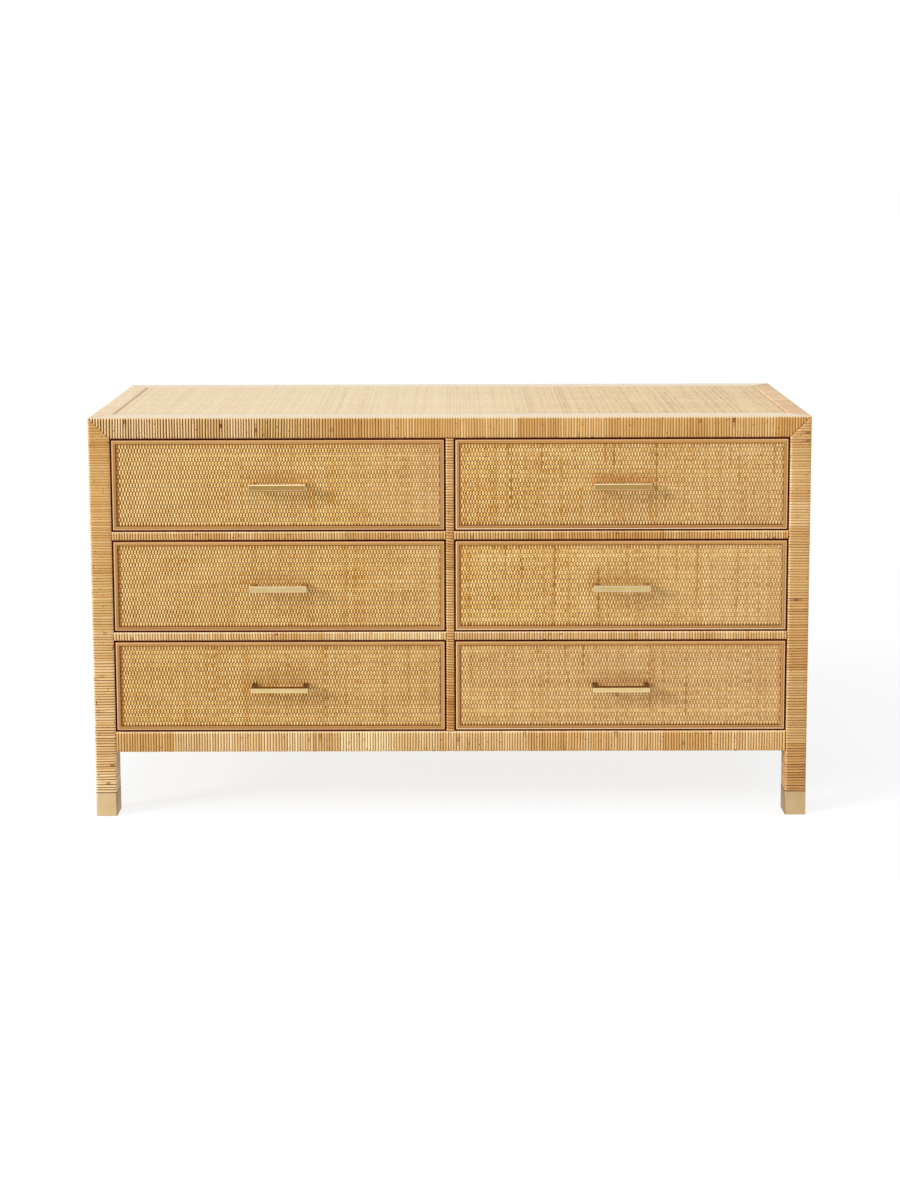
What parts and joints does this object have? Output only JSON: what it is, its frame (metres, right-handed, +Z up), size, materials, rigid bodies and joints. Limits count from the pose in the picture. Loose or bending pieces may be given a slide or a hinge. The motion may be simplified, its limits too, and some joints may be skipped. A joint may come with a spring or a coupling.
{
  "type": "dresser with drawers",
  "caption": "Low, wide dresser: a frame bound with rattan peel, woven top and ends, side-by-side woven drawers with brass bar pulls, brass foot caps.",
  "frame": {"origin": "on the floor, in the middle of the whole outline with the pulls", "axes": "+X to the right seen from the front, -Y to the front, where the drawers open, +Z up"},
  "size_m": [1.524, 0.5092, 0.866],
  "materials": {
    "rattan_peel": "rattan peel wound side by side, satin",
    "woven_rattan": "fine rattan weave, matt",
    "trim_wood": "plain wood, satin",
    "board_wood": "pale plywood, matt",
    "brass": "satin brass"
  },
  "bodies": {
    "carcass": {"post_front_left": "rattan_peel", "post_back_left": "rattan_peel", "foot_cap_front_left": "brass", "foot_cap_back_left": "brass", "top_rail_left": "rattan_peel", "bottom_rail_left": "rattan_peel", "side_panel_left": "woven_rattan", "post_front_right": "rattan_peel", "post_back_right": "rattan_peel", "foot_cap_front_right": "brass", "foot_cap_back_right": "brass", "top_rail_right": "rattan_peel", "bottom_rail_right": "rattan_peel", "side_panel_right": "woven_rattan", "top_rail_front": "rattan_peel", "top_rail_back": "rattan_peel", "bottom_rail_front": "rattan_peel", "bottom_rail_back": "rattan_peel", "stile": "rattan_peel", "divider_rail_upper": "rattan_peel", "divider_rail_lower": "rattan_peel", "partition": "board_wood", "top_panel": "woven_rattan", "back_panel": "board_wood", "bottom_board": "board_wood", "dust_board_upper_left": "board_wood", "dust_board_upper_right": "board_wood", "dust_board_lower_left": "board_wood", "dust_board_lower_right": "board_wood"},
    "drawer_upper_left": {"front_frame_upper_left": "trim_wood", "front_panel_upper_left": "woven_rattan", "drawer_box_upper_left": "board_wood", "drawer_floor_upper_left": "board_wood", "pull_upper_left": "brass"},
    "drawer_upper_right": {"front_frame_upper_right": "trim_wood", "front_panel_upper_right": "woven_rattan", "drawer_box_upper_right": "board_wood", "drawer_floor_upper_right": "board_wood", "pull_upper_right": "brass"},
    "drawer_middle_left": {"front_frame_middle_left": "trim_wood", "front_panel_middle_left": "woven_rattan", "drawer_box_middle_left": "board_wood", "drawer_floor_middle_left": "board_wood", "pull_middle_left": "brass"},
    "drawer_middle_right": {"front_frame_middle_right": "trim_wood", "front_panel_middle_right": "woven_rattan", "drawer_box_middle_right": "board_wood", "drawer_floor_middle_right": "board_wood", "pull_middle_right": "brass"},
    "drawer_lower_left": {"front_frame_lower_left": "trim_wood", "front_panel_lower_left": "woven_rattan", "drawer_box_lower_left": "board_wood", "drawer_floor_lower_left": "board_wood", "pull_lower_left": "brass"},
    "drawer_lower_right": {"front_frame_lower_right": "trim_wood", "front_panel_lower_right": "woven_rattan", "drawer_box_lower_right": "board_wood", "drawer_floor_lower_right": "board_wood", "pull_lower_right": "brass"}
  },
  "joints": [
    {"name": "drawer_slide_upper_left", "type": "slide", "parent": "carcass", "child": "drawer_upper_left", "axis": [0, -1, 0], "range_m": [0, 0.34]},
    {"name": "drawer_slide_upper_right", "type": "slide", "parent": "carcass", "child": "drawer_upper_right", "axis": [0, -1, 0], "range_m": [0, 0.34]},
    {"name": "drawer_slide_middle_left", "type": "slide", "parent": "carcass", "child": "drawer_middle_left", "axis": [0, -1, 0], "range_m": [0, 0.34]},
    {"name": "drawer_slide_middle_right", "type": "slide", "parent": "carcass", "child": "drawer_middle_right", "axis": [0, -1, 0], "range_m": [0, 0.34]},
    {"name": "drawer_slide_lower_left", "type": "slide", "parent": "carcass", "child": "drawer_lower_left", "axis": [0, -1, 0], "range_m": [0, 0.34]},
    {"name": "drawer_slide_lower_right", "type": "slide", "parent": "carcass", "child": "drawer_lower_right", "axis": [0, -1, 0], "range_m": [0, 0.34]}
  ]
}
